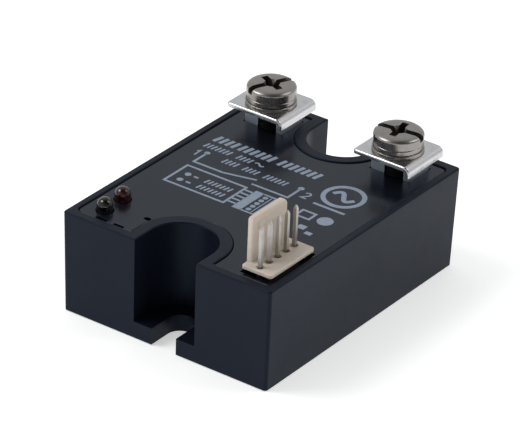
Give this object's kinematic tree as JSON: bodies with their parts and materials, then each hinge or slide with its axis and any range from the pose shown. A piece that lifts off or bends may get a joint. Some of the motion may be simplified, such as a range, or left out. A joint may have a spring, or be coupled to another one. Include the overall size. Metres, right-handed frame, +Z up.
{
  "type": "solid state relay",
  "caption": "Panel-mount solid state relay in a black block housing with screw-clamp power terminals, a pin header for the control side and status lamps.",
  "frame": {"origin": "middle of the footprint, on the heatsink face of the base plate", "axes": "+X across the width, +Y along the length from the control end to the power terminals, +Z up out of the heatsink"},
  "size_m": [0.0448, 0.0582, 0.0297],
  "materials": {
    "housing_plastic": "moulded, satin, blue-black",
    "cover_plastic": "moulded, semi-gloss, blue-black",
    "base_metal": "plated, lightly brushed",
    "alumina": "fired, matt white",
    "copper": "bare copper, satin",
    "silicon": "dark grey, polished",
    "tinned_lead": "tinned, bright",
    "board_laminate": "green solder mask",
    "package_plastic": "moulded black",
    "component_coating": "dipped blue",
    "capacitor_can": "sleeved can",
    "ferrite": "sintered dark grey",
    "header_nylon": "natural nylon, off-white",
    "status_lens": "water-clear moulded resin",
    "alarm_lens": "red tinted moulded resin",
    "potting_gel": "soft translucent gel",
    "post_metal": "nickel-plated, satin",
    "plate_metal": "nickel-plated, bright",
    "screw_metal": "nickel-plated steel, satin"
  },
  "bodies": {
    "root": {"base_plate": "base_metal", "ceramic_substrate": "alumina", "chip_resistors": "package_plastic", "control_board": "board_laminate", "cover": "cover_plastic", "current_sensor_core": "ferrite", "current_sensor_leads": "tinned_lead", "current_sensor_winding": "copper", "filter_capacitor": "capacitor_can", "gate_lead_pins": "tinned_lead", "header_body": "header_nylon", "header_pin_1": "tinned_lead", "header_pin_2": "tinned_lead", "header_pin_3": "tinned_lead", "header_pin_4": "tinned_lead", "header_pin_5": "tinned_lead", "housing": "housing_plastic", "led_alarm": "alarm_lens", "led_alarm_leads": "tinned_lead", "led_status": "status_lens", "led_status_leads": "tinned_lead", "microcontroller": "package_plastic", "opto_coupler_1": "package_plastic", "opto_coupler_2": "package_plastic", "potting_compound": "potting_gel", "snubber_capacitor": "component_coating", "snubber_resistor": "component_coating", "substrate_copper": "copper", "terminal_post_1": "post_metal", "terminal_post_2": "post_metal", "thyristor_chip_1": "silicon", "thyristor_chip_2": "silicon", "thyristor_clip_1": "copper", "thyristor_clip_2": "copper", "varistor": "component_coating", "voltage_regulator": "package_plastic"},
    "clamp_1": {"clamp_plate_1": "plate_metal", "flat_washer_1": "screw_metal", "spring_washer_1": "screw_metal"},
    "screw_1": {"terminal_screw_1": "screw_metal"},
    "clamp_2": {"clamp_plate_2": "plate_metal", "flat_washer_2": "screw_metal", "spring_washer_2": "screw_metal"},
    "screw_2": {"terminal_screw_2": "screw_metal"}
  },
  "joints": [
    {"name": "clamp_1_lift", "type": "slide", "parent": "root", "child": "clamp_1", "axis": [0, 0, 1], "range_m": [0, 0.0024]},
    {"name": "screw_1_turn", "type": "hinge", "parent": "clamp_1", "child": "screw_1", "pos_m": [-0.01395, 0.0211, 0.0259], "axis": [0, 0, 1], "range_deg": [0, 1080]},
    {"name": "clamp_2_lift", "type": "slide", "parent": "root", "child": "clamp_2", "axis": [0, 0, 1], "range_m": [0, 0.0024]},
    {"name": "screw_2_turn", "type": "hinge", "parent": "clamp_2", "child": "screw_2", "pos_m": [0.01395, 0.0211, 0.0259], "axis": [0, 0, 1], "range_deg": [0, 1080]}
  ],
  "couplings": [
    {"joint": "screw_1_turn", "follows": "clamp_1_lift", "rad_per_m": 7854},
    {"joint": "screw_2_turn", "follows": "clamp_2_lift", "rad_per_m": 7854}
  ]
}
